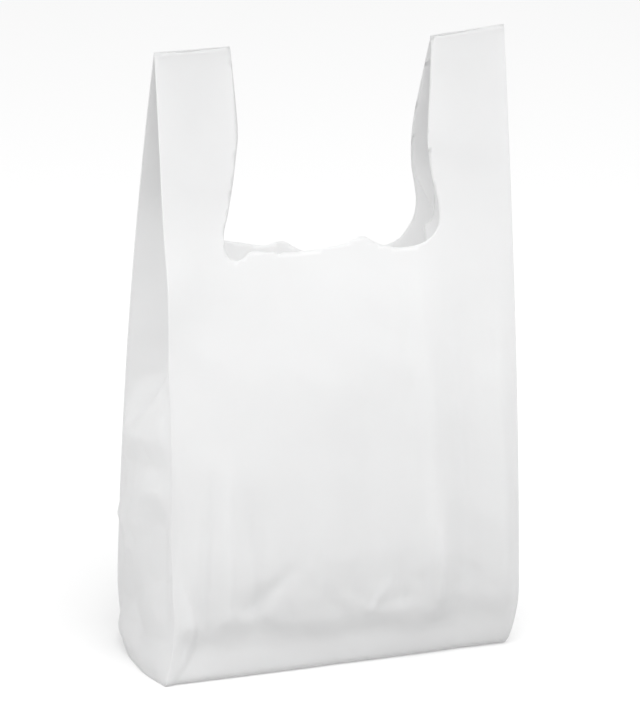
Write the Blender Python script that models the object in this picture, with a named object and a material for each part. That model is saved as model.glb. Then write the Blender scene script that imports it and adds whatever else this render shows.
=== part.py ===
"""A vest carrier bag of thin film, opened out and standing on its base.

Metres, +Z up. The front panel faces -Y and the gussets are at -X and +X. The origin is at the
middle of the base, on the surface that the bag stands on.

The bag is one folded tube of film. Front and back panels are joined by two gussets, each with
a fold down its middle. The top and the base are welded flat, and one cut through all the
layers opens the mouth and leaves two handles, each a loop of a front and a back strap.
"""

import math

import bmesh
import bpy
from mathutils import Vector

# The bag as it is made
WIDTH = 0.300  # across the front panel
HEIGHT = 0.5115  # base to handle tops, standing
GUSSET_HALF = 0.072  # crease to middle fold, so a gusset is twice this when flat
FILM = 0.0004  # wall of the solid; the film itself is far thinner
WELD_HEIGHT = 0.006  # welded band along each handle top

# How far it is opened out
DEPTH = 0.141  # front panel to back panel, at the base
TOP_FORWARD = 0.0035  # how far the handle tops lie in front of the middle of the base
FRONT_TAPER = 1.54  # power of height by which the front leans in
BACK_TAPER = 2.0
LAYER_GAP = 0.0004  # air between two layers of film where they are welded
OPEN_GAP = 0.0030  # width of a crease where the bag stands open
BASE_TAPER = 0.006  # how far the creases come in at the base
BASE_TAPER_HEIGHT = 0.050

# Gussets: folded in above, pushed out flat by the base below
FOLD_OUT_FRONT = 0.300  # height at which the fold starts to turn out, by the front crease
FOLD_OUT_BACK = 0.180  # the same by the back crease
FOLD_OUT_SPAN = 0.110
PUSHED_OUT = 0.012  # how far the lower gusset stands out

# Mouth and handles
LIP_HEIGHT = 0.344
BACK_LIP_DROP = 0.018  # the back edge of the mouth sags below the front edge
MOUTH_HALF = 0.0865  # half the mouth at the handle tops
LEFT_WAIST = 0.003  # how far the left strap bows into the mouth
LEFT_FLARE = 0.020  # how far the mouth widens down the left strap
LEFT_CORNER = 0.018
RIGHT_WAIST = 0.007
RIGHT_FLARE = 0.006
RIGHT_CORNER = 0.026
STRAP_FREE = 0.055  # height above the lip at which a gusset layer has joined its strap

# Front panel and base
PILLOW = 0.006  # how far the filled-out lower front stands proud
PILLOW_LOW = 0.030
PILLOW_FULL = 0.100
PILLOW_FADES = 0.180
PILLOW_TOP = 0.330
BASE_ROUND = 0.010  # radius from the walls into the base
REST_BAND = 0.022  # width of the flat bands that the bag stands on, front and back
END_BAND = 0.008  # the same at the gussets
BASE_RAMP = 0.012  # run over which the base rises clear of its weld
BASE_LIFT = 0.0022
SEAM_SKIRT = 0.008  # film below the base weld, folded flat
SEAM_INSET = 0.004  # end of the weld to the end of the raised base

# Middle plane to the outer layers' middles at the welds, where four layers lie together
LEAST_DEPTH = 1.5 * (FILM + LAYER_GAP)

# Fineness of the mesh
PANEL_COLUMNS = 12
GUSSET_COLUMNS = 4
WALL_ROWS = 20
ROUND_ROWS = 4
MOUTH_STEPS = 14
CORNER_STEPS = 5
LOW_ROW_POWER = 1.25  # above 1, rows crowd towards the base


def smooth(low, high, value):
    """0 below low, 1 above high, with a smooth rise between them."""
    share = min(max((value - low) / (high - low), 0.0), 1.0)
    return share * share * (3.0 - 2.0 * share)


def mix(a, b, share):
    return a + (b - a) * share


def depths(z):
    """Distances from the handle tops' plane to the front and the back panel."""
    share = min(max(z / HEIGHT, 0.0), 1.0)
    front = (DEPTH / 2 - TOP_FORWARD - LEAST_DEPTH) * (1.0 - share**FRONT_TAPER) + LEAST_DEPTH
    back = (DEPTH / 2 + TOP_FORWARD - LEAST_DEPTH) * (1.0 - share**BACK_TAPER) + LEAST_DEPTH
    return front, back


def crease_gap(z):
    """Width of a crease between two layers' middles, least at the welded tops."""
    welded = FILM + LAYER_GAP
    return mix(OPEN_GAP, welded, smooth(LIP_HEIGHT, HEIGHT - WELD_HEIGHT, z))


def half_width(z):
    low = min(max(1.0 - z / BASE_TAPER_HEIGHT, 0.0), 1.0)
    return WIDTH / 2 - FILM / 2 - BASE_TAPER * low * low


def panel_points(z, side, depth):
    """One panel from -X to +X. side is -1 for the front and 1 for the back."""
    gap = crease_gap(z)
    reach = half_width(z) - gap / 2
    points = []
    for column in range(PANEL_COLUMNS + 1):
        across = 2.0 * column / PANEL_COLUMNS - 1.0
        swell = smooth(PILLOW_LOW, PILLOW_FULL, z) - smooth(PILLOW_FADES, PILLOW_TOP, z)
        proud = PILLOW * swell * (1.0 - across**4) * (side < 0)
        points.append((across * reach, side * (depth + proud)))
    return points


def gusset_points(z, side, front, back):
    """One gusset from the front crease to the back one. side is -1 at -X and 1 at +X."""
    gap = crease_gap(z)
    half = half_width(z)
    middle = (back - front) / 2
    freed = smooth(LIP_HEIGHT, LIP_HEIGHT + STRAP_FREE, z)
    points = []
    for way, depth in ((-1, front), (1, back)):
        crease_y = way * (depth - gap)
        end_y = mix(middle + way * gap / 2, crease_y, freed)
        reach = math.sqrt(max(GUSSET_HALF**2 - (crease_y - end_y) ** 2, 0.0))
        run = []
        for column in range(GUSSET_COLUMNS + 1):
            inward = column / GUSSET_COLUMNS
            y = mix(crease_y, end_y, inward)
            turn = mix(FOLD_OUT_FRONT, FOLD_OUT_BACK, (y + front) / (front + back))
            folded = smooth(turn - FOLD_OUT_SPAN, turn, z)
            x = inward * mix(-PUSHED_OUT, reach, folded)
            run.append((side * (half - gap / 2 * folded * (1 - inward) - x), y))
        points.append(run)
    front_run, back_run = points
    tip_x = front_run[-1][0] - side * gap / 2 * smooth(FOLD_OUT_BACK - FOLD_OUT_SPAN, FOLD_OUT_FRONT, z)
    tip = (tip_x, (front_run[-1][1] + back_run[-1][1]) / 2)
    return front_run + [tip] + back_run[::-1]


def ring(z):
    """The tube's section at one height, anticlockwise from above, as (x, y) pairs."""
    front, back = depths(z)
    gap = crease_gap(z)
    half = half_width(z)
    right = gusset_points(z, 1, front, back)
    left = gusset_points(z, -1, front, back)
    points = panel_points(z, -1, front)
    points.append((half, gap / 2 - front))
    points += right
    points.append((half, back - gap / 2))
    points += panel_points(z, 1, back)[::-1]
    points.append((-half, back - gap / 2))
    points += left[::-1]
    points.append((-half, gap / 2 - front))
    return [(x, y - TOP_FORWARD) for x, y in points]


def add_ring(bm, points, z):
    return [bm.verts.new((x, y, z)) for x, y in points]


def skin(bm, lower, upper):
    """Joins two rings of equal count with a band of faces that point outwards."""
    count = len(lower)
    for i in range(count):
        j = (i + 1) % count
        bm.faces.new((lower[i], lower[j], upper[j], upper[i]))


def drawn_in(points, ends, sides):
    """A ring drawn in over the base, by one distance from its ends and one from its sides."""
    far_x = max(abs(x) for x, _ in points)
    far_y = max(abs(y) for _, y in points)
    return [(x * (1 - ends / far_x), y * (1 - sides / far_y)) for x, y in points]


def raised_base(foot):
    """The edge of the part of the base that is raised clear of the weld below it."""
    return drawn_in(foot, BASE_ROUND + END_BAND + BASE_RAMP, BASE_ROUND + REST_BAND + BASE_RAMP)


def film_tube():
    """The film before the mouth is cut: a tube closed below, as one sheet without thickness."""
    bm = bmesh.new()
    floor = FILM / 2
    foot = ring(BASE_ROUND)
    raised = add_ring(bm, raised_base(foot), floor + BASE_LIFT)
    band = drawn_in(foot, BASE_ROUND + END_BAND, BASE_ROUND + REST_BAND)
    rings = [raised, add_ring(bm, band, floor)]
    for row in range(ROUND_ROWS + 1):
        angle = math.pi / 2 * row / ROUND_ROWS
        inset = BASE_ROUND * (1.0 - math.sin(angle))
        z = floor + BASE_ROUND * (1.0 - math.cos(angle))
        rings.append(add_ring(bm, drawn_in(foot, inset, inset), z))
    bottom = floor + BASE_ROUND
    top = HEIGHT - LAYER_GAP
    for row in range(1, WALL_ROWS + 1):
        z = mix(bottom, top, (row / WALL_ROWS) ** LOW_ROW_POWER)
        rings.append(add_ring(bm, ring(z), z))
    bm.faces.new(raised[::-1])
    for lower, upper in zip(rings, rings[1:]):
        skin(bm, lower, upper)
    # Both faces of the film then take the same diagonals, so that its wall is even
    bmesh.ops.triangulate(bm, faces=bm.faces[:])
    return bm


def mouth_side(share, waist, flare):
    """Half-width of the mouth at a share of the way from the lip to the handle tops."""
    return MOUTH_HALF - waist * math.sin(math.pi * share) + flare * (1.0 - share) ** 2.5


def mouth_outline(lip, side):
    """One side of the mouth's cut from above the handle top down to the lip, as (x, z) pairs."""
    waist, flare, corner = (
        (LEFT_WAIST, LEFT_FLARE, LEFT_CORNER) if side < 0 else (RIGHT_WAIST, RIGHT_FLARE, RIGHT_CORNER)
    )
    rise = HEIGHT - lip
    points = [(side * MOUTH_HALF, HEIGHT + WELD_HEIGHT)]
    for step in range(MOUTH_STEPS + 1):
        share = mix(1.0, corner / rise, step / MOUTH_STEPS)
        points.append((side * mouth_side(share, waist, flare), lip + share * rise))
    edge = mouth_side(corner / rise, waist, flare)
    for step in range(1, CORNER_STEPS + 1):
        angle = math.pi / 2 * step / CORNER_STEPS
        x = edge - corner * (1.0 - math.cos(angle))
        points.append((side * x, lip + corner * (1.0 - math.sin(angle))))
    return points


def link(name, bm, material=None):
    mesh = bpy.data.meshes.new(name)
    bm.to_mesh(mesh)
    bm.free()
    obj = bpy.data.objects.new(name, mesh)
    bpy.context.scene.collection.objects.link(obj)
    if material:
        mesh.materials.append(material)
    return obj


def mouth_cutter(name, lip, near, far):
    """The mouth's shape as a bar along Y, from near to far."""
    outline = mouth_outline(lip, -1) + mouth_outline(lip, 1)[::-1]
    bm = bmesh.new()
    face = bm.faces.new([bm.verts.new((x, near, z)) for x, z in outline])
    run = bmesh.ops.extrude_face_region(bm, geom=[face])
    moved = [v for v in run["geom"] if isinstance(v, bmesh.types.BMVert)]
    bmesh.ops.translate(bm, verts=moved, vec=Vector((0.0, far - near, 0.0)))
    bmesh.ops.recalc_face_normals(bm, faces=bm.faces[:])
    return link(name, bm)


def slab(name, low, high):
    """A box between two corners."""
    bm = bmesh.new()
    bmesh.ops.create_cube(bm, size=1.0)
    size = Vector(high) - Vector(low)
    bmesh.ops.scale(bm, vec=size, verts=bm.verts[:])
    bmesh.ops.translate(bm, vec=(Vector(high) + Vector(low)) / 2, verts=bm.verts[:])
    return link(name, bm)


def seam_skirt(name):
    """The film below the base weld: a short web down from the base, and the skirt folded flat."""
    half = max(x for x, _ in raised_base(ring(BASE_ROUND))) - SEAM_INSET
    low = FILM
    top = FILM / 2 + BASE_LIFT
    section = [(0.0, low), (SEAM_SKIRT, low), (SEAM_SKIRT, low + FILM), (FILM, low + FILM), (FILM, top), (0.0, top)]
    bm = bmesh.new()
    face = bm.faces.new([bm.verts.new((-half, y, z)) for y, z in section])
    run = bmesh.ops.extrude_face_region(bm, geom=[face])
    moved = [v for v in run["geom"] if isinstance(v, bmesh.types.BMVert)]
    bmesh.ops.translate(bm, verts=moved, vec=Vector((2 * half, 0.0, 0.0)))
    bmesh.ops.recalc_face_normals(bm, faces=bm.faces[:])
    return link(name, bm)


def helper(obj):
    """Marks an object that only shapes another."""
    obj.hide_render = True
    obj.display_type = "WIRE"
    return obj


def boolean(obj, other, operation):
    step = obj.modifiers.new(other.name, "BOOLEAN")
    step.operation = operation
    step.solver = "EXACT"
    step.object = helper(other)


def film_material():
    material = bpy.data.materials.new("white_film")
    material.use_nodes = True
    shader = material.node_tree.nodes["Principled BSDF"]
    shader.inputs["Base Color"].default_value = (0.86, 0.86, 0.86, 1.0)
    shader.inputs["Roughness"].default_value = 0.42
    shader.inputs["Metallic"].default_value = 0.0
    return material


def carrier_bag():
    bag = link("carrier_bag", film_tube(), film_material())
    wall = bag.modifiers.new("film", "SOLIDIFY")
    wall.thickness = FILM
    wall.offset = 0.0
    wall.use_even_offset = True
    thick = LEAST_DEPTH + FILM
    for side, name in ((-1, "left_weld"), (1, "right_weld")):
        ends = sorted((side * WIDTH / 2, side * MOUTH_HALF * 0.95))
        low = (ends[0], -TOP_FORWARD - thick, HEIGHT - WELD_HEIGHT)
        boolean(bag, slab(name, low, (ends[1], thick - TOP_FORWARD, HEIGHT)), "UNION")
    boolean(bag, seam_skirt("base_weld"), "UNION")
    front, back = depths(LIP_HEIGHT)
    split = (back - front) / 2 - TOP_FORWARD
    boolean(bag, mouth_cutter("front_cut", LIP_HEIGHT, -DEPTH, split + LAYER_GAP), "DIFFERENCE")
    boolean(bag, mouth_cutter("back_cut", LIP_HEIGHT - BACK_LIP_DROP, split, DEPTH), "DIFFERENCE")
    return bag


def main():
    for obj in list(bpy.data.objects):
        bpy.data.objects.remove(obj, do_unlink=True)
    carrier_bag()


main()
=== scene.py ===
"""A vest carrier bag of thin white film, standing open on its base.

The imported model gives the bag's height. This script folds the film again from its flat blank at
a finer scale, with its slack, creases and welds, and lights it for a plain studio view.

Metres, +Z up. The front panel faces -Y, and the gussets are at -X and +X.
"""

import logging
import math
from dataclasses import dataclass, field
from enum import Enum
from typing import Any

import bmesh
import bpy
import numpy as np
from mathutils import Euler, Matrix, Vector

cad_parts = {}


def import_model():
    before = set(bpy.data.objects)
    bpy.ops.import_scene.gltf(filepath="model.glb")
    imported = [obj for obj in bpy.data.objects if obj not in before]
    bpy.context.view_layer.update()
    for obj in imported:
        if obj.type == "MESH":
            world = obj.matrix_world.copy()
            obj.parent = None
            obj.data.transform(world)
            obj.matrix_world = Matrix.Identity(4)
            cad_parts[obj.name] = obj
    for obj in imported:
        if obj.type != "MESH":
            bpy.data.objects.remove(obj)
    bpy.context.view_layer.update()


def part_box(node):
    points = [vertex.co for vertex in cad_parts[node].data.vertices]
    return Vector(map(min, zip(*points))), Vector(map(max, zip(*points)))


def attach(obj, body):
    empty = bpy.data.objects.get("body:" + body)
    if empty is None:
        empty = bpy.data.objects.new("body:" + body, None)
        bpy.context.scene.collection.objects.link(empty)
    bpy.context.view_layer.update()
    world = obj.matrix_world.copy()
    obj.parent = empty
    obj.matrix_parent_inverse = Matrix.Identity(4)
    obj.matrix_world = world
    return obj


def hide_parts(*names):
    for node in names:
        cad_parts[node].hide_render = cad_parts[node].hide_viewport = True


LOG = logging.getLogger("carrier_bag")
NODE = "carrier_bag"
SLOT = "white_film"
NET_TURNS = (12.9898, 78.233, 37.719)  # spread a net's columns, rows and seeds over the sine
NET_SPREAD = 43758.5453  # large enough that the sine's digits look random
OUTER_LAYER = 1.5  # pitches from the middle of four layers to the outer ones


def smooth(low: float, high: float, value: float) -> float:
    """Rises smoothly from 0 at low to 1 at high.

    Args:
        low: Where the rise starts.
        high: Where it ends.
        value: The place asked about.

    Returns:
        A share from 0 to 1.
    """
    share = min(max((value - low) / (high - low), 0.0), 1.0)
    return share * share * (3.0 - 2.0 * share)


def mix(a: float, b: float, share: float) -> float:
    """Returns the value a share of the way from a to b."""
    return a + (b - a) * share


def bell(value: float, middle: float, spread: float) -> float:
    """Returns a bump of height 1 at middle, which fades over the spread."""
    return math.exp(-(((value - middle) / spread) ** 2))


@dataclass(frozen=True)
class Ramp:
    """A smooth rise from 0 at low to 1 at high."""

    low: float
    high: float

    def at(self, value: float) -> float:
        """Returns its height at a value."""
        return smooth(self.low, self.high, value)


@dataclass(frozen=True)
class Bump:
    """A rounded rise, of one height at its middle, which fades over its spread."""

    height: float
    middle: float
    spread: float

    def at(self, value: float) -> float:
        """Returns its height at a value."""
        return self.height * bell(value, self.middle, self.spread)


class Wall(Enum):
    """The parts of the blank between its fold lines."""

    FRONT = "front"
    BACK = "back"
    GUSSET = "gusset"
    CREASE = "crease"
    TIP = "tip"


class Level(Enum):
    """The parts of a column, from the middle of the base upwards."""

    BASE = "base"
    ROUND = "round"
    WALL = "wall"


@dataclass(frozen=True)
class Row:
    """One line round the blank.

    Attributes:
        level: The part of a column that the line is on.
        height: Height up the flat wall, and nought below it.
        inset: Distance in from the base's widest line, or the angle turned into the base on the
            round between the two, and nought on the wall.
    """

    level: Level
    height: float = 0.0
    inset: float = 0.0


@dataclass(frozen=True)
class Column:
    """One line up the blank, which stays on its part of the bag from base to top.

    Attributes:
        wall: The part of the blank that the line is on.
        side: -1 on the left of the bag, 1 on the right.
        way: -1 towards the front, 1 towards the back.
        place: From -1 to 1 across a panel, from 0 at the crease to 1 at the middle fold on a
            gusset, and from 0 to 1 round a crease or a fold.
    """

    wall: Wall
    side: int
    way: int
    place: float


@dataclass(frozen=True)
class Fold:
    """A soft ridge or valley in a panel, along a straight line.

    Attributes:
        low: Its lower end, as x and z on the panel.
        high: Its upper end.
        width: Distance from its line at which it has faded.
        height: How far it stands out, or in where it is below nought.
        rises: Shares of its length between which it rises at its lower end.
        fades: Shares between which it fades towards its upper end.
    """

    low: tuple[float, float]
    high: tuple[float, float]
    width: float
    height: float
    rises: Ramp = Ramp(-0.15, 0.12)
    fades: Ramp = Ramp(0.45, 1.1)

    def relief(self, x: float, z: float) -> float:
        """Returns how far the film stands out at a place on the panel."""
        run_x = self.high[0] - self.low[0]
        run_z = self.high[1] - self.low[1]
        length = math.hypot(run_x, run_z)
        along = ((x - self.low[0]) * run_x + (z - self.low[1]) * run_z) / length**2
        off = ((x - self.low[0]) * run_z - (z - self.low[1]) * run_x) / length
        ends = self.rises.at(along) * (1.0 - self.fades.at(along))
        return self.height * bell(off, 0.0, self.width) * ends


def chance(i: int, j: int, seed: float) -> float:
    """Returns a fixed value from -1 to 1 for a corner of a net.

    Args:
        i: The corner's column.
        j: The corner's row.
        seed: Which of many nets it is.
    """
    mixed = math.sin(i * NET_TURNS[0] + j * NET_TURNS[1] + seed * NET_TURNS[2]) * NET_SPREAD
    return 2.0 * (mixed - math.floor(mixed)) - 1.0


def facet(u: float, v: float, cell: float, seed: float) -> float:
    """Height of film crumpled into flat facets, from -1 to 1.

    Args:
        u: Place across the film.
        v: Place up the film.
        cell: Size of a facet.
        seed: Which of many crumples it is.

    Returns:
        Heights that run straight between the corners of a net of triangles.
    """
    i, j = math.floor(u / cell), math.floor(v / cell)
    s, t = u / cell - i, v / cell - j
    a, b = chance(i, j, seed), chance(i + 1, j, seed)
    c, d = chance(i, j + 1, seed), chance(i + 1, j + 1, seed)
    if s + t < 1.0:
        return a + (b - a) * s + (c - a) * t
    return d + (c - d) * (1.0 - s) + (b - d) * (1.0 - t)


@dataclass(frozen=True)
class Crumple:
    """A net of facets laid over a panel.

    Attributes:
        height: How far its corners stand out at most.
        cell: Size of a facet.
        seed: Which of many crumples it is.
        across: Shares of x and of z that make up the place across the net.
        up: Shares of x and of z that make up the place up it.
    """

    height: float
    cell: float
    seed: float
    across: tuple[float, float]
    up: tuple[float, float]

    def relief(self, x: float, z: float) -> float:
        """Returns how far the film stands out at a place on the panel."""
        u = x * self.across[0] + z * self.across[1]
        v = x * self.up[0] + z * self.up[1]
        return self.height * facet(u, v, self.cell, self.seed)


@dataclass(frozen=True)
class Mouth:
    """The edge that is cut through one face of the flat blank.

    Attributes:
        edge: Points of x and z, from the left handle top round to the right.
        steps: How many steps the smooth line takes from each point to the next.
        above: How far the cut runs on past the handle tops.
    """

    edge: tuple[tuple[float, float], ...]
    steps: int = 10
    above: float = 0.05

    def outline(self) -> np.ndarray:
        """Returns the whole cut as a closed line of x and z, past the handle tops."""
        points = [np.array(point) for point in self.edge]
        line = [points[0] + (0.0, self.above)]
        for i in range(len(points) - 1):
            a, b, c, d = (points[min(max(k, 0), len(points) - 1)] for k in (i - 1, i, i + 1, i + 2))
            for step in range(self.steps):
                t = step / self.steps
                bend = (2 * a - 5 * b + 4 * c - d) * t**2 + (3 * b - a - 3 * c + d) * t**3
                line.append(0.5 * (2 * b + (c - a) * t + bend))
        return np.array(line + [points[-1], points[-1] + (0.0, self.above)])

    def nearest(self, places: np.ndarray) -> tuple[np.ndarray, np.ndarray]:
        """Finds how far each place is from the cut.

        Args:
            places: Rows of x and z on the flat blank.

        Returns:
            The nearest point of the cut to each place, and the distance to it, which is below
            nought inside the mouth.
        """
        line = self.outline()
        runs = np.roll(line, -1, 0) - line
        near = np.zeros_like(places)
        apart = np.full(len(places), np.inf)
        inside = np.zeros(len(places), bool)
        for (ax, az), (rx, rz) in zip(line, runs):
            along = ((places[:, 0] - ax) * rx + (places[:, 1] - az) * rz) / (rx * rx + rz * rz)
            along = along.clip(0.0, 1.0)
            spot = np.stack((ax + along * rx, az + along * rz), 1)
            gap = np.hypot(*(places - spot).T)
            closer = gap < apart
            near[closer], apart[closer] = spot[closer], gap[closer]
            crosses = (places[:, 1] < az) != (places[:, 1] < az + rz)
            if abs(rz) > 0:
                inside ^= crosses & (places[:, 0] < ax + (places[:, 1] - az) * rx / rz)
        return near, np.where(inside, -apart, apart)


# The cut through the front and the back film, as x and z on the flat panel, left to right
FRONT_EDGE = (
    (-0.0860, 0.512), (-0.0840, 0.475), (-0.0832, 0.443), (-0.0860, 0.424), (-0.0900, 0.402),
    (-0.0950, 0.380), (-0.0990, 0.366), (-0.0995, 0.354), (-0.0950, 0.345), (-0.0885, 0.342),
    (-0.0825, 0.345), (-0.0760, 0.349), (-0.0610, 0.347), (-0.0350, 0.345), (-0.0050, 0.347),
    (0.0080, 0.349), (0.0190, 0.353), (0.0290, 0.348), (0.0380, 0.344), (0.0520, 0.341),
    (0.0680, 0.3425), (0.0775, 0.346), (0.0840, 0.352), (0.0872, 0.362), (0.0855, 0.379),
    (0.0815, 0.398), (0.0793, 0.423), (0.0810, 0.446), (0.0835, 0.470), (0.0870, 0.512),
)
BACK_EDGE = (
    (-0.0860, 0.512), (-0.0845, 0.475), (-0.0845, 0.440), (-0.0880, 0.408), (-0.0925, 0.378),
    (-0.0945, 0.360), (-0.0915, 0.347), (-0.0830, 0.340), (-0.0690, 0.336), (-0.0560, 0.333),
    (-0.0380, 0.329), (-0.0220, 0.3315), (-0.0120, 0.326), (0.0000, 0.320), (0.0200, 0.3180),
    (0.0450, 0.317), (0.0650, 0.318), (0.0800, 0.323), (0.0880, 0.333), (0.0925, 0.344),
    (0.0930, 0.357), (0.0900, 0.372), (0.0855, 0.389), (0.0830, 0.407), (0.0820, 0.430),
    (0.0840, 0.468), (0.0870, 0.512),
)


# Soft folds of the front film
FRONT_FOLDS = (
    Fold((-0.124, 0.046), (-0.118, 0.170), 0.0065, -0.0040),
    Fold((-0.104, 0.045), (-0.104, 0.190), 0.0060, 0.0036),
    Fold((-0.080, 0.045), (-0.088, 0.170), 0.0085, -0.0036),
    Fold((-0.090, 0.056), (-0.045, 0.094), 0.0075, -0.0036),
    Fold((-0.030, 0.040), (-0.020, 0.170), 0.0100, 0.0020),
    Fold((0.046, 0.050), (0.040, 0.105), 0.0050, -0.0022),
    Fold((0.018, 0.045), (0.034, 0.075), 0.0040, 0.0022),
    Fold((0.010, 0.030), (0.020, 0.330), 0.0160, -0.0020),
    Fold((0.080, 0.044), (0.072, 0.140), 0.0060, 0.0042),
    Fold((0.080, 0.060), (0.064, 0.380), 0.0100, 0.0044),
    Fold((0.108, 0.040), (0.092, 0.380), 0.0130, -0.0052),
    Fold((0.138, 0.060), (0.134, 0.340), 0.0090, 0.0030),
)


@dataclass(frozen=True)
class Belly:
    """The filled-out lower front, which ends in an edge above the base.

    Attributes:
        left: Where it ends on the left.
        right: Where it ends on the right.
        edge_left: Height of its lower edge at its left end.
        edge_right: Height of its lower edge at its right end.
        waves: Height, turns and start of each wave along its lower edge.
        corner: Radius of its lower right corner.
        height: How far it stands out.
        rises: Distances inside its edge between which it rises.
        fades: Heights between which it fades into the panel.
    """

    left: float = -0.140
    right: float = 0.084
    edge_left: float = 0.049
    edge_right: float = 0.038
    waves: tuple[tuple[float, float, float], ...] = ((0.0030, 62.0, 0.0), (0.0016, 171.0, 1.0))
    corner: float = 0.022
    height: float = 0.0042
    rises: Ramp = Ramp(-0.017, 0.00425)
    fades: Ramp = Ramp(0.050, 0.200)

    def relief(self, x: float, z: float) -> float:
        """Returns how far the film stands out at a place on the panel."""
        edge = mix(self.edge_left, self.edge_right, smooth(self.left, self.right, x))
        edge += sum(height * math.sin(x * turns + start) for height, turns, start in self.waves)
        inside_x = min(x - self.left, self.right - x)
        inside_z = z - edge
        if x > 0.0 and inside_x < self.corner and inside_z < self.corner:
            inside = self.corner - math.hypot(self.corner - inside_x, self.corner - inside_z)
        else:
            inside = min(inside_x, inside_z)
        return self.height * self.rises.at(inside) * (1.0 - self.fades.at(z))


@dataclass(frozen=True)
class CornerFacet:
    """The facet at the foot of the left crease, behind whose edge the front film falls back.

    Attributes:
        height: Height at which it ends.
        lean: Power of height that brings its widest part down, where it is below 1.
        reach: How far its edge stands in from the crease at its widest.
        depth: How far the film falls back.
        edge: Distances past its edge between which the film falls back.
        fades: Distance over which the film comes out again.
    """

    height: float = 0.104
    lean: float = 0.75
    reach: float = 0.019
    depth: float = 0.0055
    edge: Ramp = Ramp(-0.002, 0.003)
    fades: float = 0.013

    def relief(self, inset: float, z: float) -> float:
        """Returns how far the film stands out, at a distance in from the crease and a height."""
        tall = math.sin(math.pi * min(z / self.height, 1.0) ** self.lean)
        past = inset - self.reach * tall
        return -self.depth * tall * self.edge.at(past) * math.exp(-max(past, 0.0) / self.fades)


@dataclass(frozen=True)
class PanelFilm:
    """How the film of one panel stands out from its plain shape.

    Attributes:
        half: Half the panel's width.
        pillow: How far the slack film stands out.
        swells: Heights between which it swells out above the base.
        sinks: Heights between which it falls back again.
        crest: How much higher it falls back, across the panel, which is nought unless given.
        pillow_power: How flat it is across its middle.
        edge: Distances from the panel's middle between which the crumples fade.
    """

    half: float
    pillow: float
    swells: Ramp
    sinks: Ramp
    crest: Bump = Bump(0.0, 0.0, 1.0)
    pillow_power: int = 4
    edge: Ramp = Ramp(0.120, 0.150)

    def slack(self, x: float, z: float) -> float:
        """Returns how far the slack film stands out at a place on the panel."""
        swell = self.swells.at(z) - self.sinks.at(z - self.crest.at(x))
        return self.pillow * swell * (1.0 - abs(x / self.half) ** self.pillow_power)

    def inner(self, x: float) -> float:
        """Returns the share of the crumples that a place across the panel has."""
        return 1.0 - self.edge.at(abs(x))


@dataclass(frozen=True)
class FrontFilm(PanelFilm):
    """How the front film stands out from its plain panel.

    Attributes:
        belly: The filled-out part.
        corner: The facet at the foot of the left crease.
        tuck: The hollow over the base's front edge.
        folds: Its soft folds.
        broad: Its broad facets.
        fine: Its fine crumple.
        fine_band: Where up the panel the fine crumple lies.
    """

    belly: Belly = Belly()
    corner: CornerFacet = CornerFacet()
    tuck: Bump = Bump(0.0028, 0.026, 0.014)
    folds: tuple[Fold, ...] = FRONT_FOLDS
    broad: Crumple = Crumple(0.0007, 0.034, 3.0, (1.2, 0.5), (-0.4, 1.0))
    fine: Crumple = Crumple(0.0008, 0.0105, 5.0, (0.9, 0.3), (-0.3, 1.0))
    fine_band: Bump = Bump(1.0, 0.060, 0.030)

    def relief(self, x: float, z: float) -> float:
        """Returns how far the film stands out at a place on the panel."""
        relief = self.slack(x, z)
        relief += self.belly.relief(x, z) + self.corner.relief(x + self.half, z)
        relief -= self.tuck.at(z)
        relief += sum(fold.relief(x, z) for fold in self.folds)
        relief += self.broad.relief(x, z) * self.inner(x)
        relief += self.fine.relief(x, z) * self.fine_band.at(z) * self.inner(x)
        return relief


@dataclass(frozen=True)
class BackFilm(PanelFilm):
    """How the back film stands out from its plain panel.

    Attributes:
        broad: Its broad facets.
        broad_fades: Heights between which they fade.
        fine: Its fine crumple.
        fine_band: Where up the panel the fine crumple lies.
    """

    broad: Crumple = Crumple(0.0016, 0.045, 8.0, (0.8, 0.0), (0.0, 0.45))
    broad_fades: Ramp = Ramp(0.2, 0.5)
    fine: Crumple = Crumple(0.0010, 0.014, 9.0, (1.0, 0.4), (0.0, 0.8))
    fine_band: Bump = Bump(1.0, 0.050, 0.050)

    def relief(self, x: float, z: float) -> float:
        """Returns how far the film stands out at a place on the panel."""
        relief = self.slack(x, z)
        relief += self.broad.relief(x, z) * self.inner(x) * (1 - self.broad_fades.at(z))
        relief += self.fine.relief(x, z) * self.fine_band.at(z) * self.inner(x)
        return relief


@dataclass(frozen=True)
class GussetFilm:
    """How the crumpled gusset film stands out from its plain shape.

    Attributes:
        large: Height of its large facets.
        large_cell: Size of them.
        both: Share of that height that both gussets have.
        left_more: Share by which the left has more than that and the right less.
        small: Height of its small facets.
        small_cell: Size of them.
        small_seed: Which of many crumples they are.
        small_stretch: How much narrower they are than tall.
        small_shift: How far they are shifted from the large ones.
        lean: Cosine and sine of the angle by which the facets are turned.
        from_crease: Shares of the way to the middle fold between which it starts.
        from_base: Heights between which it starts.
    """

    large: float = 0.0050
    large_cell: float = 0.033
    both: float = 0.65
    left_more: float = 0.35
    small: float = 0.0009
    small_cell: float = 0.0135
    small_seed: float = 14.0
    small_stretch: float = 1.1
    small_shift: float = 0.01
    lean: tuple[float, float] = (0.82, 0.57)
    from_crease: Ramp = Ramp(0.0, 0.2)
    from_base: Ramp = Ramp(0.0, 0.015)

    def relief(self, side: int, across: float, inward: float, z: float) -> float:
        """Returns how far the film stands out.

        Args:
            side: -1 for the left gusset, 1 for the right.
            across: Distance from the middle fold, below nought on the front half.
            inward: Share of the way from the crease to the middle fold.
            z: Height up the gusset.
        """
        cosine, sine = self.lean
        u, v = across * cosine + z * sine, z * cosine - across * sine
        share = self.both - self.left_more * side
        large = self.large * share * facet(u, v, self.large_cell, side)
        seed = self.small_seed + side
        narrow = u * self.small_stretch + self.small_shift
        small = self.small * facet(narrow, v, self.small_cell, seed)
        return (large + small) * self.from_crease.at(inward) * self.from_base.at(z)


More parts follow.
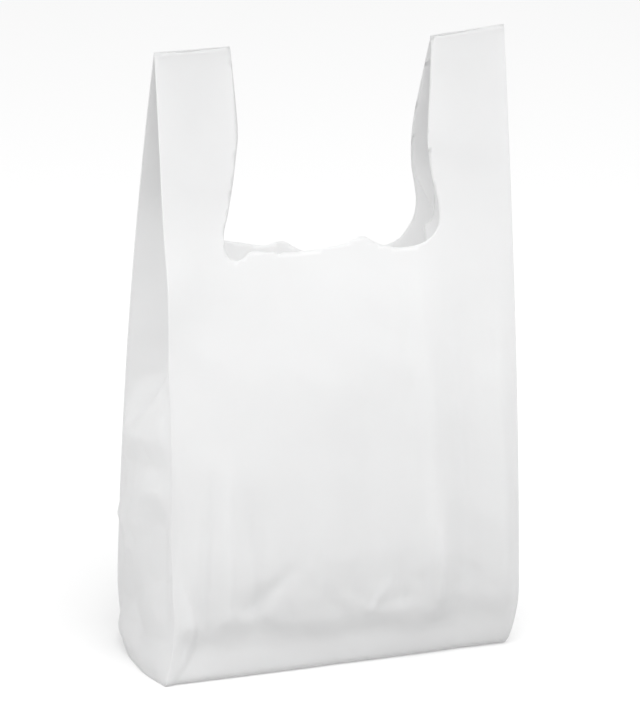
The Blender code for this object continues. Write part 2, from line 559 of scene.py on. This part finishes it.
@dataclass
class FilmBag:
    """The film, from its flat blank to the open bag.

    Attributes:
        height: From the base to the handle tops, standing.
        mouth_half: Half the width between the handles at their tops.
        layer_pitch: Distance between two layers of film where they are welded.
        crease_gap: Width of a crease where the bag stands open.
        fold_out_front: Height at which the gusset's fold starts to turn out, by the front crease.
        fold_out_back: The same by the back crease.
        foot_height: Height up to which the corners of the base have shifted.
        left_foot: How far the front and back corners have shifted on the left, in x and y.
        right_foot: The same on the right.
        sways: How the left front crease sways back and forward.
        tilt: How far the right handle's top drops towards the mouth.
        base_draw_in: Share by which the base is narrower along its middle.
        snap_out: Share of a column's width, outside the cut, within which film moves to it.
        snap_in: The same inside it.
    """

    height: float

    # The bag as it is made
    width: float = 0.300
    gusset_half: float = 0.072
    film: float = 0.00016
    weld_height: float = 0.006
    lip: float = 0.344
    mouth_half: float = 0.0865
    strap_free: float = 0.055

    # How far it is opened out
    depth: float = 0.141
    top_forward: float = 0.0035
    front_taper: float = 1.54
    back_taper: float = 2.0
    layer_pitch: float = 0.00034
    crease_gap: float = 0.0012
    fold_out_front: float = 0.325
    fold_out_back: float = 0.220
    fold_out_span: float = 0.085
    pushed_out: float = 0.010
    panel_edge: Ramp = Ramp(0.94, 1.0)

    # How it stands
    foot_height: float = 0.055
    left_foot: tuple[tuple[float, float], ...] = ((-0.010, -0.004), (0.003, -0.010))
    right_foot: tuple[tuple[float, float], ...] = ((-0.007, 0.010), (-0.006, -0.005))
    sways: tuple[Bump, ...] = (Bump(0.006, 0.110, 0.050), Bump(-0.005, 0.322, 0.040))
    sway_left: Ramp = Ramp(0.110, 0.150)
    sway_front: Ramp = Ramp(0.0, 0.040)
    tilt: float = 0.0045
    tilt_from: float = 0.42

    # The base
    base_round: float = 0.006
    base_lift: float = 0.0022
    base_ramp: float = 0.02
    base_draw_in: float = 0.12
    rest_band: float = 0.030

    # The mesh
    panel_columns: int = 104
    gusset_columns: int = 26
    round_columns: int = 3
    wall_rows: int = 142
    base_rows: int = 14
    round_rows: int = 6
    row_power: float = 1.08
    snap_out: float = 0.45
    snap_in: float = 0.8
    top_margin: float = 0.0001
    seam_gap: float = 0.00002

    # The film of each wall, and the cut through the front one, at -1, and the back one, at 1
    mouths: dict[int, Mouth] = field(init=False)
    front_film: FrontFilm = field(init=False)
    back_film: BackFilm = field(init=False)
    gusset_film: GussetFilm = field(init=False)

    def __post_init__(self) -> None:
        """Prepares the film of each wall."""
        half = self.width / 2
        self.mouths = {-1: Mouth(FRONT_EDGE), 1: Mouth(BACK_EDGE)}
        self.gusset_film = GussetFilm()
        self.front_film = FrontFilm(
            half,
            pillow=0.006,
            swells=Ramp(0.030, 0.100),
            sinks=Ramp(0.180, 0.310),
            crest=Bump(0.050, 0.030, 0.070),
        )
        self.back_film = BackFilm(
            half, pillow=0.004, swells=Ramp(0.020, 0.090), sinks=Ramp(0.160, 0.330)
        )

    def layout(self) -> list[Column]:
        """Returns the blank's columns, from the middle of the back round by the left."""
        half, deep, turn = self.panel_columns // 2, self.gusset_columns, self.round_columns
        inner = [step / (turn + 1) for step in range(1, turn + 1)]
        out = [step / deep for step in range(deep + 1)]
        across = [step / half for step in range(half + 1)]
        left = [Column(Wall.BACK, -1, 1, -share) for share in across]
        left += [Column(Wall.CREASE, -1, 1, share) for share in inner]
        left += [Column(Wall.GUSSET, -1, 1, share) for share in out]
        left += [Column(Wall.TIP, -1, 1, 1.0 - share) for share in inner]
        left += [Column(Wall.GUSSET, -1, -1, share) for share in out[::-1]]
        left += [Column(Wall.CREASE, -1, -1, share) for share in inner[::-1]]
        left += [Column(Wall.FRONT, -1, -1, -share) for share in across[::-1]]
        mirrored = []
        for c in left[::-1]:
            place = -c.place if c.wall in (Wall.FRONT, Wall.BACK) else c.place
            mirrored.append(Column(c.wall, 1, c.way, place))
        return left + mirrored[1:]

    def depths(self, z: float) -> tuple[float, float]:
        """Returns the distances from the handle tops' plane to the front and back panels."""
        share = min(max(z / self.height, 0.0), 1.0)
        least = OUTER_LAYER * self.layer_pitch
        front = (self.depth / 2 - self.top_forward - least) * (1.0 - share**self.front_taper)
        back = (self.depth / 2 + self.top_forward - least) * (1.0 - share**self.back_taper)
        return front + least, back + least

    def radius(self, z: float) -> float:
        """Returns the radius of the creases, least at the welded tops."""
        closed = smooth(self.lip, self.height - self.weld_height, z)
        return mix(self.crease_gap, self.layer_pitch, closed) / 2

    def panel(self, way: int, x: float, z: float) -> Vector:
        """Returns a place on the front or back panel.

        Args:
            way: -1 for the front, 1 for the back.
            x: Place across the flat panel.
            z: Height up it.
        """
        front, back = self.depths(z)
        reach = self.width / 2 - self.radius(z)
        across = x / (self.width / 2)
        relief = (self.front_film if way < 0 else self.back_film).relief(x, z)
        fade = 1.0 - self.panel_edge.at(abs(across))
        y = -(front + relief * fade) if way < 0 else back + relief * fade
        return Vector((across * reach, y, z))

    def gusset(self, side: int, way: int, inward: float, z: float) -> Vector:
        """Returns a place on one half of a gusset.

        Args:
            side: -1 for the left gusset, 1 for the right.
            way: -1 for its front half, 1 for its back half.
            inward: Share of the way from the crease to the middle fold.
            z: Height up it.
        """
        front, back = self.depths(z)
        radius = self.radius(z)
        depth = front if way < 0 else back
        start_y = way * (depth - 2 * radius)
        freed = smooth(self.lip, self.lip + self.strap_free, z)
        end_y = mix((back - front) / 2 + way * radius, start_y, freed)
        reach = math.sqrt(max(self.gusset_half**2 - (start_y - end_y) ** 2, 0.0))
        y = mix(start_y, end_y, inward)
        turn = mix(self.fold_out_front, self.fold_out_back, (y + front) / (front + back))
        folded = smooth(turn - self.fold_out_span, turn, z)
        inside = mix(-self.pushed_out * math.sin(math.pi / 2 * inward), reach * inward, folded)
        return Vector((side * (self.width / 2 - radius * folded * (1.0 - inward) - inside), y, z))

    def crumple(self, side: int, way: int, inward: float, z: float) -> float:
        """Returns how far crumpled gusset film stands out from its plain shape."""
        across = way * (1.0 - inward) * self.gusset_half
        pushed = 1.0 - smooth(self.fold_out_back, self.fold_out_front, z)
        return self.gusset_film.relief(side, across, inward, z) * pushed

    def place(self, column: Column, x: float, z: float) -> Vector:
        """Returns where a point of the blank lies on the open bag, above the base.

        Args:
            column: The column that the point is on.
            x: Its place across the flat bag, which may be off the column where the mouth is cut.
            z: Its height up the flat bag.
        """
        side, way = column.side, column.way
        if column.wall in (Wall.FRONT, Wall.BACK):
            spot = self.panel(way, x, z)
        elif column.wall is Wall.GUSSET:
            inward = (self.width / 2 - abs(x)) / self.gusset_half
            spot = self.gusset(side, way, inward, z)
            spot.x += side * self.crumple(side, way, inward, z)
        elif column.wall is Wall.CREASE:
            radius = self.radius(z)
            depth = self.depths(z)[0 if way < 0 else 1]
            angle = math.pi * column.place
            spot = Vector((self.width / 2 - radius * (1 - math.sin(angle)), 0.0, z))
            spot.x *= side
            spot.y = way * (depth - radius * (1.0 - math.cos(angle)))
        else:
            front = self.gusset(side, -1, 1.0, z)
            back = self.gusset(side, 1, 1.0, z)
            spot = front.lerp(back, column.place)
            folded = smooth(self.fold_out_back - self.fold_out_span, self.fold_out_front, z)
            spot.x -= side * self.radius(z) * math.sin(math.pi * column.place) * folded
            spot.x += side * self.crumple(side, 1, 1.0, z)
        spot.y -= self.top_forward
        return spot

    def stand(self, spot: Vector) -> Vector:
        """Returns where a place on the bag comes to lie as the film settles."""
        x, y, z = spot
        share = min(max(1.0 - z / self.foot_height, 0.0), 1.0) ** 2
        right = min(max(0.5 + x / self.width, 0.0), 1.0)
        back = min(max(0.5 + y / self.depth, 0.0), 1.0)
        left_shift = Vector(self.left_foot[0]).lerp(Vector(self.left_foot[1]), back)
        right_shift = Vector(self.right_foot[0]).lerp(Vector(self.right_foot[1]), back)
        shift = left_shift.lerp(right_shift, right) * share
        sway = sum(bump.at(z) for bump in self.sways)
        sway *= self.sway_left.at(-x) * self.sway_front.at(-y)
        inner = max(self.width / 2 - x, 0.0) / (self.width / 2 - self.mouth_half)
        drop = self.tilt * inner * smooth(self.tilt_from, self.height, z) * (x > 0)
        return Vector((x + shift.x, y + shift.y + sway, z - drop))

    def base_place(self, foot: Vector, inset: float, z: float) -> Vector:
        """Returns a place on the base, drawn in from the foot of the wall.

        Args:
            foot: The foot of the wall on this column.
            inset: Distance in from the widest line of the base.
            z: Height over the surface that the bag stands on.
        """
        deep = self.depth / 2
        share = min(inset / deep, 1.0)
        x = foot.x * (1.0 - share * self.base_draw_in)
        return self.stand(Vector((x, foot.y * (1.0 - share), z)))

    def levels(self) -> list[Row]:
        """Returns the blank's rows, from the middle of the base up to the handle tops."""
        rows = []
        for row in range(self.base_rows):
            inset = mix(self.depth / 2, self.base_round, row / self.base_rows)
            rows.append(Row(Level.BASE, inset=inset))
        for row in range(self.round_rows):
            rows.append(Row(Level.ROUND, inset=math.pi / 2 * row / self.round_rows))
        for row in range(self.wall_rows + 1):
            share = (row / self.wall_rows) ** self.row_power
            rows.append(Row(Level.WALL, mix(self.base_round, self.height, share)))
        return rows

    def build(self) -> bmesh.types.BMesh:
        """Cuts the mouth from the blank, folds the film up and joins its back seam."""
        columns, rows = self.layout(), self.levels()
        across, up = len(columns) - 1, len(rows) - 1
        bm = bmesh.new()
        bmesh.ops.create_grid(bm, x_segments=across, y_segments=up, size=0.5)
        bm.verts.ensure_lookup_table()
        index = [(round((v.co.x + 0.5) * across), round((v.co.y + 0.5) * up)) for v in bm.verts]
        flat = np.array([(self.flat_x(columns[i]), rows[j].height) for i, j in index])
        near, apart = np.zeros_like(flat), np.zeros(len(flat))
        ways = np.array([columns[i].way for i, _ in index])
        for way, mouth in self.mouths.items():
            near[ways == way], apart[ways == way] = mouth.nearest(flat[ways == way])
        pitch = self.width / self.panel_columns
        free = np.array([columns[i].wall is not Wall.CREASE for i, _ in index])
        below_top = flat[:, 1] < self.height - self.top_margin
        cut = free & below_top & (apart < self.snap_out * pitch) & (apart > -self.snap_in * pitch)
        flat[cut] = near[cut]
        self.raise_film(bm, columns, rows, index, flat)
        self.trim(bm, np.where(cut, 0.0, apart))
        bmesh.ops.remove_doubles(bm, verts=bm.verts[:], dist=self.seam_gap)
        bmesh.ops.recalc_face_normals(bm, faces=bm.faces[:])
        return bm

    def flat_x(self, column: Column) -> float:
        """Returns a column's place across the flat bag."""
        half = self.width / 2
        if column.wall in (Wall.FRONT, Wall.BACK):
            return column.place * half
        if column.wall is Wall.CREASE:
            return column.side * half
        if column.wall is Wall.TIP:
            return column.side * (half - self.gusset_half)
        return column.side * (half - column.place * self.gusset_half)

    def trim(self, bm: bmesh.types.BMesh, apart: np.ndarray) -> None:
        """Deletes the faces inside the mouth, after splitting those that the cut crosses.

        Args:
            bm: The raised film.
            apart: Each vertex's distance from the cut, below nought inside the mouth.
        """
        for face in list(bm.faces):
            gaps = [apart[v.index] for v in face.verts]
            if min(gaps) < 0.0 < max(gaps):
                on = [v for v in face.verts if apart[v.index] == 0.0]
                if len(on) == 2 and not self.adjacent(on):
                    bmesh.utils.face_split(face, on[0], on[1])
        doomed = [face for face in bm.faces if min(apart[v.index] for v in face.verts) < 0.0]
        bmesh.ops.delete(bm, geom=doomed, context="FACES")
        bmesh.ops.delete(bm, geom=[v for v in bm.verts if not v.link_faces], context="VERTS")

    def adjacent(self, pair: list[bmesh.types.BMVert]) -> bool:
        """Returns whether two vertices share an edge."""
        return any(edge.other_vert(pair[0]) is pair[1] for edge in pair[0].link_edges)

    def raise_film(
        self,
        bm: bmesh.types.BMesh,
        columns: list[Column],
        rows: list[Row],
        index: list[tuple[int, int]],
        flat: np.ndarray,
    ) -> None:
        """Moves each vertex of the blank to its place on the open bag.

        Args:
            bm: The blank.
            columns: Its columns.
            rows: Its rows.
            index: Each vertex's column and row.
            flat: Each vertex's place across the flat bag and up its wall, moved to the cut
                where it lies close to it.
        """
        feet = [self.place(column, self.flat_x(column), self.base_round) for column in columns]
        floor = self.film / 2
        for v in bm.verts:
            i, j = index[v.index]
            row = rows[j]
            if row.level is Level.WALL:
                x, z = flat[v.index]
                v.co = self.stand(self.place(columns[i], x, max(z, self.base_round)))
            elif row.level is Level.ROUND:
                inward = self.base_round * (1.0 - math.sin(row.inset))
                z = floor + self.base_round * (1.0 - math.cos(row.inset))
                v.co = self.base_place(feet[i], inward, z)
            else:
                lifted = smooth(self.rest_band, self.rest_band + self.base_ramp, row.inset)
                v.co = self.base_place(feet[i], row.inset, floor + self.base_lift * lifted)


@dataclass
class Weld:
    """The flat band in which all the layers of one handle are welded together.

    Attributes:
        bag: The bag that it closes.
        side: -1 for the left handle, 1 for the right.
        ribs: How many level ribs the welding bar presses into it.
        press: How deep they are on each face.
        cut_back: How far the band ends inside the handle's edges.
    """

    bag: FilmBag
    side: int
    ribs: int = 9
    press: float = 0.00006
    cut_back: float = 0.0004

    def build(self) -> bmesh.types.BMesh:
        """Returns the band, with its ribs."""
        bag = self.bag
        inner = bag.mouth_half - self.cut_back
        outer = bag.width / 2 - self.cut_back
        bm = bmesh.new()
        bmesh.ops.create_cube(bm, size=1.0)
        upright = [edge for edge in bm.edges if abs(edge.verts[0].co.z - edge.verts[1].co.z) > 0.5]
        bmesh.ops.subdivide_edges(bm, edges=upright, cuts=2 * self.ribs - 1)
        thick = 3 * bag.layer_pitch + 2 * bag.film
        for v in bm.verts:
            step = round((v.co.z + 0.5) * 2 * self.ribs)
            pressed = thick - 2 * self.press * (step % 2)
            x = self.side * mix(inner, outer, v.co.x + 0.5)
            z = bag.height - bag.weld_height * (0.5 - v.co.z)
            v.co = bag.stand(Vector((x, v.co.y * pressed - bag.top_forward, z)))
        bmesh.ops.recalc_face_normals(bm, faces=bm.faces[:])
        return bm


class Shade:
    """A socket that adds Math nodes when it is used in sums."""

    def __init__(self, tree: "Finish", socket: bpy.types.NodeSocket) -> None:
        """Wraps a socket of a material."""
        self.tree = tree
        self.socket = socket

    def _sum(self, operation: str, first: Any, second: Any) -> "Shade":
        """Adds one Math node and returns its value."""
        return self.tree.value("ShaderNodeMath", {"operation": operation}, {0: first, 1: second})

    def __add__(self, other: Any) -> "Shade":
        """Returns self + other."""
        return self._sum("ADD", self, other)

    __radd__ = __add__

    def __mul__(self, other: Any) -> "Shade":
        """Returns self * other."""
        return self._sum("MULTIPLY", self, other)

    __rmul__ = __mul__


class Finish:
    """A material and the one way in which nodes are added to it."""

    def __init__(self, name: str) -> None:
        """Starts an empty node tree under the material's name."""
        self.material = bpy.data.materials.new(name)
        self.material.use_nodes = True
        self.nodes = self.material.node_tree.nodes
        self.links = self.material.node_tree.links
        self.nodes.clear()

    def node(self, kind: str, settings: dict[str, Any], inputs: dict[Any, Any]) -> bpy.types.Node:
        """Adds a node.

        Args:
            kind: The node's type.
            settings: Its settings, which are made first.
            inputs: Values, or sockets to link, by the name or number of its sockets.

        Returns:
            The new node.
        """
        node = self.nodes.new(kind)
        for key, value in settings.items():
            setattr(node, key, value)
        for key, value in inputs.items():
            if isinstance(value, Shade):
                value = value.socket
            if isinstance(value, bpy.types.NodeSocket):
                self.links.new(value, node.inputs[key])
            else:
                node.inputs[key].default_value = value
        return node

    def value(self, kind: str, settings: dict[str, Any], inputs: dict[Any, Any]) -> Shade:
        """Adds a node and returns its first output."""
        return Shade(self, self.node(kind, settings, inputs).outputs[0])

    def surface(self, shader: bpy.types.NodeSocket) -> None:
        """Sends a shader to the material's output."""
        self.node("ShaderNodeOutputMaterial", {}, {"Surface": shader})


@dataclass(frozen=True)
class WhiteFilm:
    """Thin milky polyethylene film, softly glossy, with fine creases and draw lines.

    Attributes:
        colour: Its colour.
        cloud: Its colour where the film is thicker.
        glow: Colour of the light that comes through it.
        through: Share of the light that comes through it.
        cloud_scale: How fine the clouds are.
        line_scale: How fine the draw lines are.
        line_stretch: Share of that fineness that they have upwards.
        crinkle_scale: How fine the crinkle is.
        crinkle_share: How much of the bump is crinkle.
        line_share: How much of it is draw lines.
        bump: Strength of the bump.
        bump_depth: Depth of the bump.
        gloss: Roughness where the film is clear.
        cloud_gloss: How much rougher it is where it is cloudy.
    """

    colour: tuple[float, float, float, float] = (0.93, 0.93, 0.93, 1.0)
    cloud: tuple[float, float, float, float] = (0.90, 0.903, 0.905, 1.0)
    glow: tuple[float, float, float, float] = (0.96, 0.96, 0.96, 1.0)
    through: float = 0.66
    cloud_scale: float = 26.0
    line_scale: float = 420.0
    line_stretch: float = 0.03
    crinkle_scale: float = 95.0
    crinkle_share: float = 0.7
    line_share: float = 0.12
    bump: float = 0.12
    bump_depth: float = 0.0006
    gloss: float = 0.36
    cloud_gloss: float = 0.16

    def make(self) -> bpy.types.Material:
        """Returns the film's material."""
        finish = Finish(SLOT)
        noise = "ShaderNodeTexNoise"
        place = finish.node("ShaderNodeTexCoord", {}, {}).outputs["Object"]
        cloud = finish.value(
            noise,
            {},
            {"Vector": place, "Scale": self.cloud_scale, "Detail": 3.0, "Roughness": 0.55},
        )
        stretch = (1.0, 1.0, self.line_stretch)
        drawn = finish.node("ShaderNodeMapping", {}, {"Vector": place, "Scale": stretch})
        lines = finish.value(
            noise, {}, {"Vector": drawn.outputs[0], "Scale": self.line_scale, "Detail": 2.0}
        )
        crinkle = finish.value(
            noise,
            {},
            {
                "Vector": place,
                "Scale": self.crinkle_scale,
                "Detail": 4.0,
                "Roughness": 0.5,
                "Distortion": 0.6,
            },
        )
        colour = finish.node(
            "ShaderNodeMix",
            {"data_type": "RGBA"},
            {"Factor": cloud, "A": self.colour, "B": self.cloud},
        ).outputs[2]
        height = crinkle * self.crinkle_share + lines * self.line_share
        bump = finish.node(
            "ShaderNodeBump",
            {},
            {"Strength": self.bump, "Distance": self.bump_depth, "Height": height},
        ).outputs[0]
        body = finish.node(
            "ShaderNodeBsdfPrincipled",
            {},
            {
                "Base Color": colour,
                "Roughness": self.gloss + self.cloud_gloss * cloud,
                "IOR": 1.5,
                "Specular IOR Level": 0.4,
                "Normal": bump,
            },
        ).outputs[0]
        glow = finish.node(
            "ShaderNodeBsdfTranslucent", {}, {"Color": self.glow, "Normal": bump}
        ).outputs[0]
        both = finish.node("ShaderNodeMixShader", {}, {0: self.through, 1: body, 2: glow})
        finish.surface(both.outputs[0])
        return finish.material


@dataclass(frozen=True)
class StudioWhite:
    """A matt white floor that shows as plain white and keeps the bag's shadow.

    Attributes:
        colour: Its colour as the camera sees it.
        bounce: Its colour for the light that it throws back at the bag.
        lift: Brightness that the camera sees on top of its lit colour.
    """

    colour: tuple[float, float, float, float] = (0.60, 0.60, 0.60, 1.0)
    bounce: tuple[float, float, float, float] = (0.46, 0.46, 0.46, 1.0)
    lift: float = 0.25

    def make(self) -> bpy.types.Material:
        """Returns the floor's material."""
        finish = Finish("studio_floor")
        path = finish.node("ShaderNodeLightPath", {}, {}).outputs["Is Camera Ray"]
        matt = finish.node("ShaderNodeBsdfDiffuse", {}, {"Color": self.colour}).outputs[0]
        dull = finish.node("ShaderNodeBsdfDiffuse", {}, {"Color": self.bounce}).outputs[0]
        lifted = finish.node("ShaderNodeEmission", {}, {"Strength": self.lift}).outputs[0]
        both = finish.node("ShaderNodeAddShader", {}, {0: matt, 1: lifted}).outputs[0]
        seen = finish.node("ShaderNodeMixShader", {}, {0: path, 1: dull, 2: both})
        finish.surface(seen.outputs[0])
        return finish.material


@dataclass(frozen=True)
class Softbox:
    """A square lamp that faces the bag.

    Attributes:
        name: Its name.
        place: Its middle.
        size: Its side.
        power: Its power in watts.
        target: The place that it faces.
    """

    name: str
    place: tuple[float, float, float]
    size: float
    power: float
    target: tuple[float, float, float] = (0.0, 0.0, 0.25)

    def make(self) -> None:
        """Adds the lamp."""
        light = bpy.data.lights.new(self.name, "AREA")
        light.shape = "SQUARE"
        light.size = self.size
        light.energy = self.power
        lamp = bpy.data.objects.new(self.name, light)
        lamp.location = self.place
        way = Vector(self.target) - Vector(self.place)
        lamp.rotation_euler = way.to_track_quat("-Z", "Y").to_euler()
        bpy.context.scene.collection.objects.link(lamp)


@dataclass
class Studio:
    """The floor, the lamps and the camera, none of which is part of the bag.

    Attributes:
        azimuth: Degrees by which the camera is turned from the front.
        elevation: Degrees by which it looks down.
        roll: Degrees by which it is turned about its own axis.
        distance: Distance from the camera to the place that it aims at.
        lens: Its focal length in millimetres.
        sensor: Its sensor's width in millimetres.
        aim: The place that it aims at.
        sky: Strength of the sky's light on the bag.
        floor_radius: Radius of the floor.
        softboxes: The lamps.
    """

    azimuth: float = -21.288
    elevation: float = 17.625
    roll: float = 1.121
    distance: float = 6.0
    lens: float = 415.7
    sensor: float = 36.0
    aim: tuple[float, float, float] = (-0.0036, -0.0035, 0.2431)
    sky: float = 0.95
    floor_radius: float = 5.0
    softboxes: tuple[Softbox, ...] = (
        Softbox("top_softbox", (0.2, -1.4, 2.7), 2.2, 56.0),
        Softbox("left_softbox", (-2.6, -0.3, 1.5), 1.6, 20.0),
    )

    def camera(self) -> None:
        """Sets a long lens at the photograph's angle."""
        camera = bpy.data.objects.new("camera", bpy.data.cameras.new("camera"))
        bpy.context.scene.collection.objects.link(camera)
        camera.data.sensor_fit = "HORIZONTAL"
        camera.data.sensor_width = self.sensor
        camera.data.lens = self.lens
        camera.data.clip_end = 100.0
        turn = Euler((math.radians(90.0 - self.elevation), 0.0, math.radians(self.azimuth)))
        spin = Matrix.Rotation(math.radians(self.roll), 4, "Z")
        back_off = Matrix.Translation((0, 0, self.distance))
        aimed = Matrix.Translation(self.aim) @ turn.to_matrix().to_4x4()
        camera.matrix_world = aimed @ spin @ back_off
        bpy.context.scene.camera = camera

    def floor(self) -> None:
        """Lays a wide plain floor under the bag."""
        bm = bmesh.new()
        bmesh.ops.create_circle(bm, cap_ends=True, segments=96, radius=self.floor_radius)
        mesh = bpy.data.meshes.new("studio_floor")
        bm.to_mesh(mesh)
        bm.free()
        floor = bpy.data.objects.new("studio_floor", mesh)
        mesh.materials.append(StudioWhite().make())
        bpy.context.scene.collection.objects.link(floor)

    def world(self) -> None:
        """Makes an even white sky that the camera sees at full white."""
        world = bpy.data.worlds.new("studio")
        world.use_nodes = True
        bpy.context.scene.world = world
        tree = world.node_tree
        path = tree.nodes.new("ShaderNodeLightPath")
        seen = tree.nodes.new("ShaderNodeMath")
        seen.operation = "MAXIMUM"
        tree.links.new(path.outputs["Is Camera Ray"], seen.inputs[0])
        tree.links.new(path.outputs["Is Glossy Ray"], seen.inputs[1])
        level = tree.nodes.new("ShaderNodeMix")
        level.inputs["A"].default_value = self.sky
        level.inputs["B"].default_value = 1.0
        tree.links.new(seen.outputs[0], level.inputs["Factor"])
        tree.links.new(level.outputs[0], tree.nodes["Background"].inputs["Strength"])
        tree.nodes["Background"].inputs["Color"].default_value = (1.0, 1.0, 1.0, 1.0)

    def make(self) -> None:
        """Sets up the whole studio."""
        self.world()
        self.floor()
        for softbox in self.softboxes:
            softbox.make()
        self.camera()


def add_piece(name: str, bm: bmesh.types.BMesh, material: bpy.types.Material) -> bpy.types.Object:
    """Makes a smooth-shaded object of a finished mesh.

    Args:
        name: The piece's name.
        bm: Its mesh, which is freed.
        material: Its finish.

    Returns:
        The new object, at the origin.
    """
    mesh = bpy.data.meshes.new(name)
    bm.to_mesh(mesh)
    bm.free()
    mesh.materials.append(material)
    mesh.shade_smooth()
    piece = bpy.data.objects.new(name, mesh)
    bpy.context.scene.collection.objects.link(piece)
    return piece


def main() -> None:
    """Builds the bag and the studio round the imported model."""
    logging.basicConfig(level=logging.INFO, format="%(message)s")
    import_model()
    view = bpy.context.scene.view_settings
    view.view_transform = "Standard"
    Studio().make()
    bag = FilmBag(Vector(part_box(NODE)[1]).z)
    film = add_piece("bag_film", bag.build(), WhiteFilm().make())
    wall = film.modifiers.new("film", "SOLIDIFY")
    wall.thickness = bag.film
    wall.offset = 0.0
    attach(film, "root")
    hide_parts(NODE)
    LOG.info("%s: %d faces", film.name, len(film.data.polygons))
    for side, name in ((-1, "left_weld_band"), (1, "right_weld_band")):
        band = add_piece(name, Weld(bag, side).build(), film.data.materials[0])
        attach(band, "root")
        LOG.info("%s: %d faces", band.name, len(band.data.polygons))


if __name__ == "__main__":
    main()
